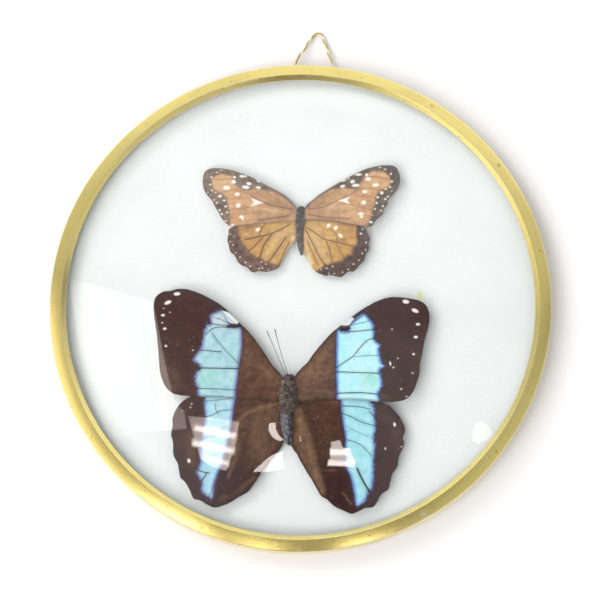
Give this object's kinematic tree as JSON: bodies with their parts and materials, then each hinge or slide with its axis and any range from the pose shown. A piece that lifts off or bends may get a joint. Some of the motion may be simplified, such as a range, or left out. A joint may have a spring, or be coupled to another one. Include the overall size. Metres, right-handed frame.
{
  "type": "framed butterfly specimen",
  "caption": "Round brass-rimmed wall case with a bulged glass front, a white backing and spread butterflies fixed inside, hung by a short twisted cord loop.",
  "frame": {"origin": "middle of the back, in the plane of the rim's flange, on the surface the case lies on", "axes": "+Z out of the glass front, +Y towards the hanging cord, +X to the right of the front as it hangs"},
  "size_m": [0.2, 0.218, 0.0274],
  "materials": {
    "brass": "brushed and polished, lightly worn",
    "clear_glass": "clear, polished",
    "white_card": "smooth matte white",
    "gold_cord": "twisted gold and white thread",
    "orange_wing": "dry scaled wing, orange-brown with dark margins and white dots",
    "golden_wing": "dry scaled wing, golden with dark veins and a dark margin",
    "grey_body": "dry insect body, dark grey",
    "dark_wing": "dry scaled wing, dark brown with a pale blue band",
    "brown_fur": "dry insect body with short grey-brown hair"
  },
  "bodies": {
    "root": {"brass_rim": "brass", "glass_dome": "clear_glass", "backing_card": "white_card", "hanging_cord": "gold_cord", "small_butterfly_forewing_left": "orange_wing", "small_butterfly_forewing_right": "orange_wing", "small_butterfly_hindwing_left": "golden_wing", "small_butterfly_hindwing_right": "golden_wing", "small_butterfly_body": "grey_body", "large_butterfly_forewing_left": "dark_wing", "large_butterfly_forewing_right": "dark_wing", "large_butterfly_hindwing_left": "dark_wing", "large_butterfly_hindwing_right": "dark_wing", "large_butterfly_body": "brown_fur"}
  },
  "joints": []
}
